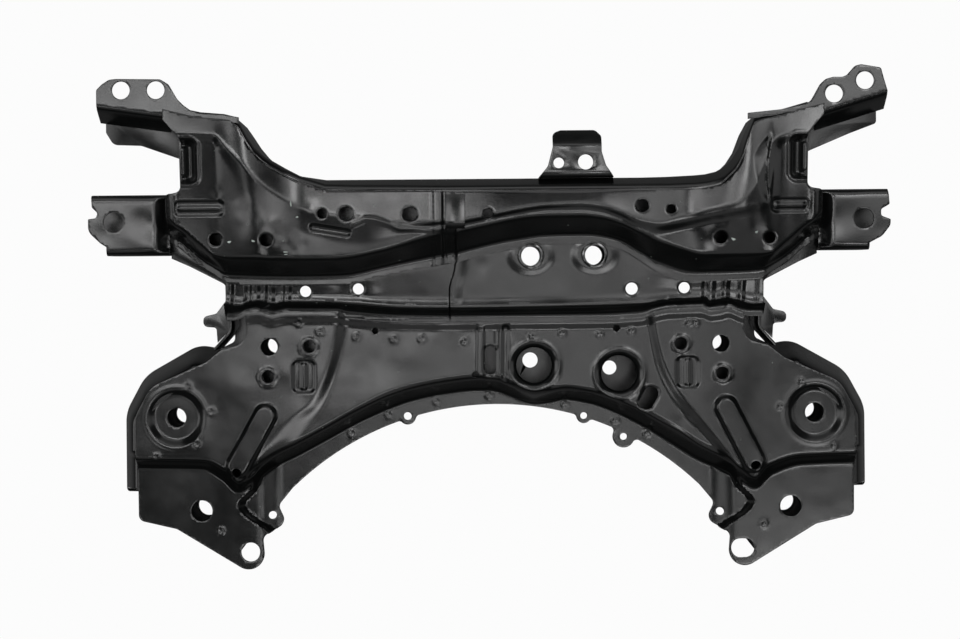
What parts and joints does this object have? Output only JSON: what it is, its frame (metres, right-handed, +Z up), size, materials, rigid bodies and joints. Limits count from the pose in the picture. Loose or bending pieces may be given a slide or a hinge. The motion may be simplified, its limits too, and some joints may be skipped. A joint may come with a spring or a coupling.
{
  "type": "suspension subframe",
  "caption": "Pressed and welded steel front subframe with raised tower corners, horn plates, arm brackets, a curved rear edge and upright bolt sleeves.",
  "frame": {"origin": "middle of the underside's bounding rectangle, on the surface that it lies on", "axes": "+X across the car to its right as the picture shows it, +Y to the car's front, +Z up"},
  "size_m": [0.792, 0.4938, 0.135],
  "materials": {
    "panel_coat": "satin black electrocoat on pressed steel, handled and scratched",
    "sleeve_coat": "satin black electrocoat on turned steel"
  },
  "bodies": {
    "root": {"arm_bracket_left": "panel_coat", "arm_bracket_right": "panel_coat", "arm_gusset_left": "panel_coat", "arm_gusset_right": "panel_coat", "arm_wall_front_left": "panel_coat", "arm_wall_front_right": "panel_coat", "arm_wall_rear_left": "panel_coat", "arm_wall_rear_right": "panel_coat", "bush_sleeve_left": "sleeve_coat", "bush_sleeve_right": "sleeve_coat", "engine_mount_tab": "panel_coat", "engine_sleeve_inner": "sleeve_coat", "engine_sleeve_outer": "sleeve_coat", "front_joint_plate": "panel_coat", "front_side_wall_left": "panel_coat", "front_side_wall_right": "panel_coat", "front_upper_panel_left": "panel_coat", "front_upper_panel_right": "panel_coat", "horn_lower_left": "panel_coat", "horn_lower_right": "panel_coat", "horn_upper_left": "panel_coat", "horn_upper_right": "panel_coat", "lower_panel": "panel_coat", "middle_panel_left": "panel_coat", "middle_panel_right": "panel_coat", "mount_sleeve_left": "sleeve_coat", "mount_sleeve_right": "sleeve_coat", "rack_nut_inner_left": "sleeve_coat", "rack_nut_inner_right": "sleeve_coat", "rack_nut_rear_left": "sleeve_coat", "rack_nut_rear_right": "sleeve_coat", "rack_sleeve_left": "sleeve_coat", "rack_sleeve_right": "sleeve_coat", "rear_side_wall_left": "panel_coat", "rear_side_wall_right": "panel_coat", "rear_upper_panel": "panel_coat", "waist_wall_left": "panel_coat", "waist_wall_right": "panel_coat"}
  },
  "joints": []
}
